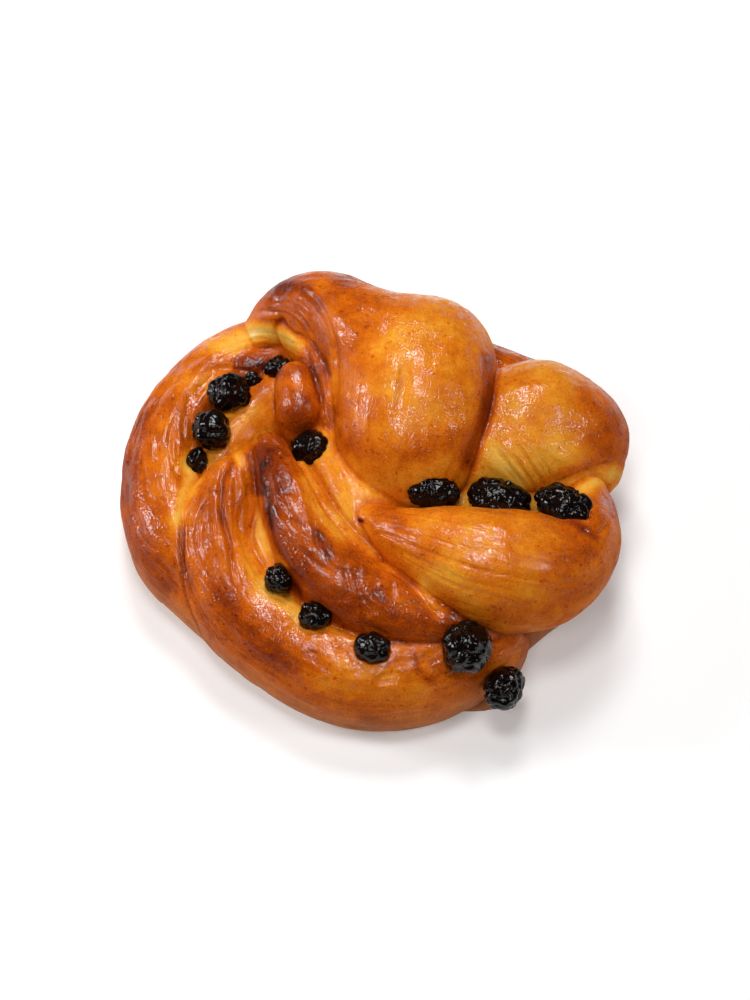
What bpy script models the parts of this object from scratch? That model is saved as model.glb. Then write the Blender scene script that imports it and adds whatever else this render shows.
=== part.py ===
# Raisin bun: one knotted, egg-washed piece of sweet dough with raisins in its folds.
#
# The knot is built strand by strand along hand-laid centre lines. The strands are
# joined, each raisin's socket is cut, the joined skin is evened out into one solid,
# and its underside is cut flat.

import math

import bmesh
import bpy
import numpy as np
from mathutils import Euler, Vector, noise

# Lengths are in millimetres and become metres where a mesh is made.
MM = 0.001

ROPE_SIDES = 32        # faces round a strand
RING_STEP = 2.4        # distance between two rings of a strand
END_RINGS = 5          # rings in each rounded end
END_LEAST = 0.3        # share of its last width that a strand keeps where its taper runs on past its end
PATH_STEPS = 20        # straight bits between two stations
LOOK_ROUND = 0.6       # a path's direction is read from this far before and after a place
KNOT_SHIFT = (0.1, -1.2, 0)  # puts the middle of the bun's box over the origin
FLOOR_SNAP = 0.25      # points this close to the floor are set on it, so the cut leaves no slivers
HAIR = 0.001           # points lower than this count as on the floor
FLOOR_DIP = 1.0        # a resting strand is drawn this far below the floor and cut flat
FOOT_FULLNESS = 3.2    # squareness of a resting strand's lower half, where 2 is round
SOCKET_GAP = 0.5       # air between a raisin and the dough round it
GRAIN = 0.7            # size of the grid that melts the joined strands into one even skin
DOUGH_TRIANGLES = 9600
CREASE_ANGLE = 50      # degrees, the folds sharper than this are shaded sharp

# The strands of the knot. A station is x, y, z of the centre line, then the half
# width and the half height there. A resting strand reaches down to the floor.
# A fold is a groove that runs along the strand: its place round the strand in
# degrees (0 is the right side going forward, 90 the top), its depth, its half
# width in degrees, and the share of the strand's length where it starts and ends.
STRANDS = {
    "left_rope": {
        "stations": [(-14, 45.5, 12, 9, 10), (-24.5, 43.5, 14, 10, 12), (-36.5, 36.5, 14, 11, 12.5),
                     (-46, 23.5, 14, 11, 12.5), (-49.5, 9.5, 13, 11, 12.5), (-46.5, -7, 13, 11, 12.5),
                     (-38, -17, 12, 10.5, 12), (-28.5, -28, 12, 9, 10)],
        "resting": True,
        "folds": [(58, 1.1, 16, 0.18, 0.62), (100, 1.2, 16, 0.08, 0.55)]},
    "left_lip": {
        "stations": [(-18, 41.5, 20, 4, 5), (-25.5, 38.5, 20, 5.5, 6), (-33.5, 35, 19, 6, 6),
                     (-40, 28.5, 17, 5.5, 6), (-44, 19.5, 15, 5, 5)]},
    "front_rope": {
        "stations": [(-28, 10, 25, 3, 3.5), (-33, 1.5, 22, 8, 8), (-37, -11, 18, 10, 10),
                     (-31.5, -24, 15, 10.5, 11.5), (-19, -34, 13, 11, 12), (-7, -40, 12, 11.5, 12.5),
                     (5, -41, 12, 11.5, 12.5), (16.5, -38, 12, 10.5, 11.5), (25, -35, 11, 8, 9),
                     (30, -33, 10, 6, 7)],
        "resting": True,
        "folds": [(82, 1.5, 18, 0.02, 0.42), (132, 1.0, 16, 0.02, 0.36)]},
    "dark_ridge": {
        "stations": [(-24.5, 9.5, 28, 4, 4.5), (-21, -2, 29, 6, 6.5), (-16.5, -14, 28, 7.5, 8),
                     (-9, -24, 26, 8.5, 8.5), (0.5, -29, 23, 9, 9), (11.5, -31.5, 20, 9, 9),
                     (21.5, -32, 17, 8, 8)],
        "resting": True},
    "right_lobe": {
        "stations": [(-1.5, -10, 30, 3.5, 4), (6, -14.5, 29, 7, 7.5), (16.5, -19, 28.5, 11.5, 12),
                     (28, -22, 26.5, 14, 14.5), (37.5, -21, 24, 13.5, 14), (42.5, -19.5, 23, 12, 12.5)]},
    "right_shoulder": {
        "stations": [(37, -21, 24, 13, 13.5), (43.5, -18, 23, 11, 12.5), (48, -12, 22, 9.5, 11.5)]},
    "right_curl": {
        "stations": [(40, -22, 21, 8, 9.5), (45.5, -18, 22, 8, 11), (48.5, -12, 22, 8, 10.5),
                     (49.5, -5, 20, 7, 9.5), (48.5, 2.5, 17, 6, 8)]},
    "right_foot": {
        "stations": [(26.5, -30.5, 9, 7, 9), (35.5, -21.5, 9, 7.5, 10), (45, -12.5, 9, 8, 12),
                     (47.5, -3, 9, 8, 12), (46, 6.5, 9, 7.5, 12), (43.5, 14.5, 9, 8, 10)],
        "resting": True},
    "upper_lobe": {
        "stations": [(22, 8, 18, 8, 9), (31, 15, 24, 14, 14.5), (39, 18.5, 24.5, 15, 15.5),
                     (44.5, 19, 23.5, 13.5, 13.5)]},
    "upper_flank": {
        "stations": [(22, 6, 25, 9, 10), (31.5, 9, 26, 12, 12.5), (41.5, 9, 24, 11, 11.5)],
        "resting": True},
    "upper_cheek": {
        "stations": [(39, 18.5, 24, 14, 14.5), (46, 16, 22.5, 12.5, 13.5), (50, 12, 20, 10.5, 11)]},
    "upper_tail": {
        "stations": [(41.5, 25, 22, 8, 10), (47, 21, 22.5, 9.5, 11.5), (50.5, 15, 21, 10, 11.5),
                     (50.5, 8.5, 17.5, 7.5, 8.5)]},
    "upper_foot": {
        "stations": [(30, 23, 11, 12, 14), (43, 24, 11, 13, 14)],
        "resting": True},
    "top_lobe": {
        "stations": [(9, 27, 30, 20, 19.5), (9, 19.5, 30, 19.5, 20), (8.5, 12, 28.5, 18.5, 18.5)],
        "resting": True, "squareness": 2.3},
    "top_ridge": {
        "stations": [(-27.5, 39, 15, 6.5, 7), (-25, 45, 22, 7, 8), (-19, 47.5, 28.5, 7.5, 9),
                     (-11, 45.5, 33, 8.5, 9.5), (0.5, 36, 35, 10, 10)]},
    "top_shoulder": {
        "stations": [(-14, 43.5, 32, 9, 10.5), (-7, 39.5, 33.5, 11.5, 12), (1, 33, 33, 15, 15.5),
                     (7, 27, 31, 18, 18.5)]},
    "crease_band": {
        "stations": [(-22, 46, 26, 5.5, 6), (-17, 41, 30, 5.5, 6), (-13.5, 32, 31, 4.5, 6),
                     (-11.5, 22, 29, 3, 5), (-10.5, 12, 26, 3, 4)],
        "resting": True},
    "small_knob": {
        "stations": [(-18.5, 25.5, 30.5, 5.2, 6), (-17.5, 18.5, 30, 5.6, 6)],
        "resting": True},
    "inner_fold": {
        "stations": [(-20, 32.5, 18, 7, 8), (-29, 24, 17, 8, 8.5), (-36, 13.5, 15, 8, 8.5),
                     (-39.5, 0.5, 12, 8, 8)],
        "resting": True},
    "ridge_slope": {
        "stations": [(-19.5, 3, 24, 6, 6.5), (-12.5, -9, 24, 7, 7.5), (-4, -19.5, 22, 7, 7.5)],
        "resting": True},
    "raisin_valley": {
        "stations": [(-26.5, 1.5, 17, 8, 8), (-21, -15, 16, 8.5, 8.5), (-11.5, -28.5, 15, 8.5, 8.5),
                     (2.5, -34, 13, 8, 8)],
        "resting": True},
    "pale_centre": {
        "stations": [(-10.5, 16.5, 22, 8, 8), (-7, 4, 23.5, 9, 9), (-1.5, -8.5, 23, 9, 9),
                     (6, -15, 19, 8, 8)],
        "resting": True},
    "baked_drip": {
        "stations": [(18.5, -41.5, 3, 4, 3.5), (24.5, -42.6, 2.2, 2.6, 2.2), (28, -42.6, 1.7, 1.8, 1.7)],
        "resting": True},
    "right_valley": {
        "stations": [(10, -6, 19, 8, 8), (22, -1, 20, 8, 8), (34, 0, 20, 8, 8), (43, 1, 17, 7, 8)],
        "resting": True},
    "back_wall": {
        "stations": [(-18.5, 41.5, 11, 9, 11), (-6, 43, 12, 10, 14), (7.5, 43.5, 12, 10, 14),
                     (19.5, 39, 12, 10, 14), (35, 32, 12, 11, 12)],
        "resting": True},
}

# The dough under the knot, which closes the gaps between the strands: x, y, z, half sizes.
CORE_PLACE = (0, 1, 5)
CORE_SIZE = (50, 42, 16)

# Raisins: x, y, z of the middle, the three half sizes, and the turn about Z in degrees.
RAISINS = [
    ((-34.5, 25.2, 27), (4.8, 4.5, 4.4), 20),
    ((-38.3, 15.6, 26), (4.1, 4.8, 4.3), 10),
    ((-41.5, 9.4, 22.3), (2.1, 2.7, 2.4), -20),
    ((-23, 33, 25.5), (3.2, 2.8, 3.0), 0),
    ((-15, 8.9, 29), (4.6, 4.0, 4.0), 0),
    ((13.3, -4.9, 32), (6.1, 4.4, 4.2), 0),
    ((28.3, -6.4, 31), (7.5, 4.4, 4.5), -18),
    ((43.1, -8.6, 31.2), (7.3, 4.8, 4.8), -34),
    ((-21.9, -24.6, 26.8), (3.2, 3.6, 3.4), 0),
    ((-13.4, -33.2, 25.8), (3.8, 3.3, 3.4), 30),
    ((-0.7, -41, 25.2), (4.1, 3.7, 3.7), 0),
    ((20.4, -41.2, 25.5), (5.9, 6.1, 5.8), 0),
    ((29.3, -45.5, 14), (4.5, 5.5, 4.9), -25),
    ((-29.3, 30.4, 24), (2.4, 1.9, 2.2), 0),
]
WRINKLE_DEPTH = 0.16   # share of a raisin's radius that its creases go in
WRINKLE_SCALE = 1.5    # creases across a raisin
WRINKLE_WIDTH = 0.3    # share of the noise's range that a crease takes
WRINKLE_STEP = 7.3     # how far apart two raisins' wrinkles are read from the noise


def clear_scene():
    for obj in list(bpy.data.objects):
        bpy.data.objects.remove(obj, do_unlink=True)


def new_collection(name):
    collection = bpy.data.collections.new(name)
    bpy.context.scene.collection.children.link(collection)
    return collection


def move_to(obj, collection):
    for owner in list(obj.users_collection):
        owner.objects.unlink(obj)
    collection.objects.link(obj)


def smooth_path(stations):
    """A centripetal curve through the stations, and the length along it."""
    p = np.array(stations, float)
    p = np.vstack([2 * p[0] - p[1], p, 2 * p[-1] - p[-2]])
    line = []
    for before, start, end, after in zip(p, p[1:], p[2:], p[3:]):
        gap_in, gap, gap_out = (math.sqrt(np.linalg.norm((b - a)[:3]))
                                for a, b in ((before, start), (start, end), (end, after)))
        leave = (start - before) / gap_in - (end - before) / (gap_in + gap) + (end - start) / gap
        arrive = (end - start) / gap - (after - start) / (gap + gap_out) + (after - end) / gap_out
        for t in np.arange(PATH_STEPS) / PATH_STEPS:
            line.append((2 * t**3 - 3 * t**2 + 1) * start + (t**3 - 2 * t**2 + t) * gap * leave
                        + (3 * t**2 - 2 * t**3) * end + (t**3 - t**2) * gap * arrive)
    line.append(p[-2])
    line = np.array(line)
    steps = np.linalg.norm(np.diff(line[:, :3], axis=0), axis=1)
    return line, np.concatenate([[0], np.cumsum(steps)])


def read_path(line, lengths, place):
    """Centre, direction, half width and half height at a place along the path or past its ends."""
    inside = min(max(place, 0), lengths[-1])
    row = np.array([np.interp(inside, lengths, column) for column in line.T])
    near = (max(inside - LOOK_ROUND, 0), min(inside + LOOK_ROUND, lengths[-1]))
    before, after = (np.array([np.interp(n, lengths, column) for column in line.T]) for n in near)
    step = after - before
    direction = step[:3] / np.linalg.norm(step[:3])
    beyond = place - inside
    taper = np.minimum(step[3:] / (near[1] - near[0]) * beyond, 0)
    width, height = np.maximum(row[3:] + taper, END_LEAST * row[3:])
    return row[:3] + direction * beyond, direction, width, height


def ring_places(length, first_radius, last_radius, squareness):
    """Where the rings of a strand stand along it, each with its share of the full width."""
    end = [math.cos(math.pi / 2 * k / END_RINGS) for k in range(1, END_RINGS)]
    share = [(1 - u**squareness) ** (1 / squareness) for u in end]
    count = max(4, round(length / RING_STEP))
    rings = [(-first_radius, 0)]
    rings += [(-first_radius * u, s) for u, s in zip(end, share)]
    rings += [(length * k / count, 1) for k in range(count + 1)]
    rings += [(length + last_radius * u, s) for u, s in reversed(list(zip(end, share)))]
    rings.append((length + last_radius, 0))
    return rings


def fold_depth(folds, angle, along):
    """How far the folds press the surface in at an angle round the strand and a share along it."""
    depth = 0
    for middle, deep, half_width, start, end in folds:
        if start < along < end:
            fade = math.sin(math.pi * (along - start) / (end - start))
            depth += deep * fade * math.exp(-((math.degrees(angle) - middle) / half_width) ** 2)
    return depth


def rounded(value, squareness):
    """A sine or cosine bent from a circle's towards a square's."""
    return math.copysign(abs(value) ** (2 / squareness), value)


def make_strand(name, stations, resting=False, squareness=2.0, folds=()):
    """A sphere whose rings are laid along the strand's path."""
    line, lengths = smooth_path(stations)
    rings = ring_places(lengths[-1], line[0, 3], line[-1, 3], squareness)
    frames = [read_path(line, lengths, place) for place, share in rings]
    mesh = bpy.data.meshes.new(name)
    bm = bmesh.new()
    bmesh.ops.create_uvsphere(bm, u_segments=ROPE_SIDES, v_segments=len(rings) - 1, radius=1)
    for vert in bm.verts:
        angle = math.atan2(vert.co.y, vert.co.x)
        polar = math.acos(max(-1, min(1, vert.co.z)))
        index = round(polar / math.pi * (len(rings) - 1))
        centre, direction, width, height = frames[index]
        place, share = rings[index]
        side = np.cross(direction, (0, 0, 1))
        side /= np.linalg.norm(side)
        upper = angle >= 0
        rise = np.cross(side, direction)
        if resting and not upper:
            rise = np.array((0, 0, 1))
            height = centre[2] + FLOOR_DIP
            squareness_here = FOOT_FULLNESS
        else:
            squareness_here = squareness
        pressed = fold_depth(folds, angle, place / lengths[-1])
        out = side * (width - pressed) * rounded(math.cos(angle), squareness_here)
        out += rise * (height - pressed) * rounded(math.sin(angle), squareness_here)
        vert.co = Vector((centre + KNOT_SHIFT + out * share) * MM)
    bmesh.ops.recalc_face_normals(bm, faces=bm.faces)
    bm.to_mesh(mesh)
    bm.free()
    return bpy.data.objects.new(name, mesh)


def make_core():
    bpy.ops.mesh.primitive_uv_sphere_add(segments=ROPE_SIDES * 2, ring_count=12, radius=1)
    core = bpy.context.object
    core.name = "core"
    core.data.transform(placing(CORE_PLACE, CORE_SIZE, 0))
    return core


def placing(place, size, turn):
    """The matrix that stretches, turns and places a unit shape."""
    spin = Euler((0, 0, math.radians(turn))).to_matrix().to_4x4()
    stretch = spin.copy().to_3x3()
    for column, half in enumerate(size):
        for row in range(3):
            stretch[row][column] *= half * MM
    matrix = stretch.to_4x4()
    matrix.translation = (Vector(place) + Vector(KNOT_SHIFT)) * MM
    return matrix


def apply_modifiers(obj):
    bpy.context.view_layer.update()
    evaluated = obj.evaluated_get(bpy.context.evaluated_depsgraph_get())
    mesh = bpy.data.meshes.new_from_object(evaluated)
    obj.modifiers.clear()
    obj.data = mesh


def join_strands(strands):
    """One Boolean union of all strands, which then go."""
    dough = strands.objects[0]
    move_to(dough, bpy.context.scene.collection)
    dough.name = "dough"
    union = dough.modifiers.new("join strands", "BOOLEAN")
    union.operation = "UNION"
    union.operand_type = "COLLECTION"
    union.collection = strands
    union.solver = "EXACT"
    apply_modifiers(dough)
    for strand in list(strands.objects):
        bpy.data.objects.remove(strand, do_unlink=True)
    bpy.data.collections.remove(strands)
    return dough


def cut_sockets(dough, sockets):
    """One Boolean difference takes all the sockets out of the dough."""
    difference = dough.modifiers.new("raisin sockets", "BOOLEAN")
    difference.operation = "DIFFERENCE"
    difference.operand_type = "COLLECTION"
    difference.collection = sockets
    difference.solver = "EXACT"
    apply_modifiers(dough)


def melt_together(dough):
    """Even the joined skin out on a fine grid, then thin it to the triangles it may have."""
    grid = dough.modifiers.new("even skin", "REMESH")
    grid.mode = "VOXEL"
    grid.voxel_size = GRAIN * MM
    apply_modifiers(dough)
    keep_outer_skin(dough)
    thin = dough.modifiers.new("fewer triangles", "DECIMATE")
    thin.ratio = DOUGH_TRIANGLES / (2 * len(dough.data.polygons))
    apply_modifiers(dough)


def cut_flat(dough):
    """Cut off what is below the floor and close the underside with one level face."""
    bm = bmesh.new()
    bm.from_mesh(dough.data)
    bmesh.ops.bisect_plane(bm, geom=bm.verts[:] + bm.edges[:] + bm.faces[:], dist=FLOOR_SNAP * MM,
                           plane_co=(0, 0, 0), plane_no=(0, 0, 1), use_snap_center=True, clear_inner=True)
    level = [face for face in bm.faces if all(vert.co.z < HAIR * MM for vert in face.verts)]
    bmesh.ops.delete(bm, geom=level, context="FACES")
    rim = [edge for edge in bm.edges if edge.is_boundary]
    bmesh.ops.triangle_fill(bm, edges=rim, use_beauty=True)
    bmesh.ops.delete(bm, geom=[edge for edge in bm.edges if edge.is_wire], context="EDGES")
    bmesh.ops.recalc_face_normals(bm, faces=bm.faces)
    bm.to_mesh(dough.data)
    bm.free()


def keep_outer_skin(obj):
    """Drop the skins of sealed hollows and loose scraps, so that one closed body is left."""
    bm = bmesh.new()
    bm.from_mesh(obj.data)
    unseen = set(bm.verts)
    skins = []
    while unseen:
        skin = set()
        front = [unseen.pop()]
        while front:
            vert = front.pop()
            skin.add(vert)
            for link in vert.link_edges:
                other = link.other_vert(vert)
                if other in unseen:
                    unseen.remove(other)
                    front.append(other)
        skins.append(skin)
    skins.sort(key=len)
    for skin in skins[:-1]:
        bmesh.ops.delete(bm, geom=list(skin), context="VERTS")
    bm.to_mesh(obj.data)
    bm.free()


def make_raisin(number, place, size, turn):
    """A wrinkled berry that stays inside its ellipsoid."""
    mesh = bpy.data.meshes.new(f"raisin_{number:02d}")
    bm = bmesh.new()
    bmesh.ops.create_icosphere(bm, subdivisions=3, radius=1)
    for vert in bm.verts:
        wave = noise.noise(vert.co * WRINKLE_SCALE + Vector((number * WRINKLE_STEP, 0, 0)))
        crease = max(0, 1 - abs(wave) / WRINKLE_WIDTH)
        vert.co *= 1 - WRINKLE_DEPTH * crease
    bmesh.ops.transform(bm, matrix=placing(place, size, turn), verts=bm.verts)
    bm.to_mesh(mesh)
    bm.free()
    mesh.shade_smooth()
    return bpy.data.objects.new(mesh.name, mesh)


def make_socket(number, place, size, turn):
    """The hollow for a raisin, an ellipsoid that clears it by the gap."""
    bpy.ops.mesh.primitive_uv_sphere_add(segments=ROPE_SIDES, ring_count=ROPE_SIDES // 2, radius=1)
    socket = bpy.context.object
    socket.name = f"socket_{number:02d}"
    socket.data.transform(placing(place, [half + SOCKET_GAP for half in size], turn))
    return socket


def mark_as_cutter(obj, cutters):
    move_to(obj, cutters)
    obj.hide_render = True
    obj.display_type = "WIRE"


def make_material(name, colour, roughness):
    material = bpy.data.materials.new(name)
    material.use_nodes = True
    shader = material.node_tree.nodes["Principled BSDF"]
    shader.inputs["Base Color"].default_value = (*colour, 1)
    shader.inputs["Roughness"].default_value = roughness
    shader.inputs["Metallic"].default_value = 0
    return material


def main():
    clear_scene()
    bun = new_collection("raisin_bun")
    strands = new_collection("strands")
    sockets = new_collection("sockets")
    for name, design in STRANDS.items():
        strands.objects.link(make_strand(name, **design))
    move_to(make_core(), strands)
    dough = join_strands(strands)
    move_to(dough, bun)
    for number, (place, size, turn) in enumerate(RAISINS, 1):
        mark_as_cutter(make_socket(number, place, size, turn), sockets)
        bun.objects.link(make_raisin(number, place, size, turn))
    cut_sockets(dough, sockets)
    melt_together(dough)
    cut_flat(dough)
    dough.data.shade_smooth()
    dough.data.set_sharp_from_angle(angle=math.radians(CREASE_ANGLE))
    dough.data.materials.clear()
    dough.data.materials.append(make_material("baked egg-washed dough", (0.50, 0.15, 0.02), 0.35))
    raisin_skin = make_material("raisin skin", (0.012, 0.007, 0.005), 0.3)
    for obj in bun.objects:
        if obj is not dough:
            obj.data.materials.append(raisin_skin)


main()
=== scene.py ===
# Raisin bun: a knot of egg-washed sweet dough, baked until the ridges are chestnut brown,
# with wrinkled raisins stuck in its folds.
import math

import bpy
import numpy as np
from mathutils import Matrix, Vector, noise
from mathutils.bvhtree import BVHTree
from mathutils.interpolate import poly_3d_calc
from mathutils.kdtree import KDTree


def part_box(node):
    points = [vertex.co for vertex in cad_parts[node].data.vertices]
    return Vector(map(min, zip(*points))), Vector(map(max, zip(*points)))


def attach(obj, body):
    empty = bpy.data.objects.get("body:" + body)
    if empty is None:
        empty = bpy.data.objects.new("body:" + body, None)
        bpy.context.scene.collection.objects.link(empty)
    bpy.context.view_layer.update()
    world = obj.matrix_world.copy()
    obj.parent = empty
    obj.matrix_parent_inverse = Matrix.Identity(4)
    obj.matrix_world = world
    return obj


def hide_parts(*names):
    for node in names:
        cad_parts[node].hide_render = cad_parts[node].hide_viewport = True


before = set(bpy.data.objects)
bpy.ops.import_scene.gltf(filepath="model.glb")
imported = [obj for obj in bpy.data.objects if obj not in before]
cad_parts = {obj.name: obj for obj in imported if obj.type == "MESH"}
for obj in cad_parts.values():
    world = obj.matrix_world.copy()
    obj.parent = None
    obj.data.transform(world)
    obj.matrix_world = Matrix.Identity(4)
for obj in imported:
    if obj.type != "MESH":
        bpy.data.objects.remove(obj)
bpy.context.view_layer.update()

mm = 0.001


# small helpers

def deselectAll():
    bpy.ops.object.select_all(action="DESELECT")


def makeActive(piece):
    deselectAll()
    piece.select_set(True)
    bpy.context.view_layer.objects.active = piece


def readPoints(piece, what="co"):
    points = np.empty(len(piece.data.vertices) * 3)
    piece.data.vertices.foreach_get(what, points)
    return points.reshape(-1, 3)


def writePoints(piece, points):
    piece.data.vertices.foreach_set("co", np.asarray(points, float).ravel())
    piece.data.update()


def writeAttribute(piece, name, values):
    values = np.asarray(values, np.float32)
    wide = values.ndim == 2
    layer = piece.data.attributes.new(name, "FLOAT_VECTOR" if wide else "FLOAT", "POINT")
    layer.data.foreach_set("vector" if wide else "value", values.ravel())


def readAttribute(piece, name):
    layer = piece.data.attributes[name]
    wide = layer.data_type == "FLOAT_VECTOR"
    values = np.empty(len(layer.data) * (3 if wide else 1), np.float32)
    layer.data.foreach_get("vector" if wide else "value", values)
    return values.reshape(-1, 3) if wide else values


def surfaceTree(points, faces):
    # finds the nearest place on a surface, or what a ray meets
    return BVHTree.FromPolygons([Vector(p) for p in points], faces)


def readFaces(piece):
    return [tuple(face.vertices) for face in piece.data.polygons]


def waves(points, size, shift=0):
    # smooth noise from -1 to 1, one wave every size; shift only moves the pattern
    return np.array([noise.noise(p) for p in (points / size + shift).tolist()])


def creases(points, size, width, shift=0):
    # 1 along a network of lines, falling to 0 at width away from them
    return np.clip(1 - np.abs(waves(points, size, shift)) / width, 0, 1)


def smoothStep(values, low, high):
    t = np.clip((values - low) / (high - low), 0, 1)
    return t * t * (3 - 2 * t)


def applyModifier(piece, kind, **settings):
    makeActive(piece)
    modifier = piece.modifiers.new(kind.lower(), kind)
    for name, value in settings.items():
        setattr(modifier, name, value)
    bpy.ops.object.modifier_apply(modifier=modifier.name)


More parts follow.
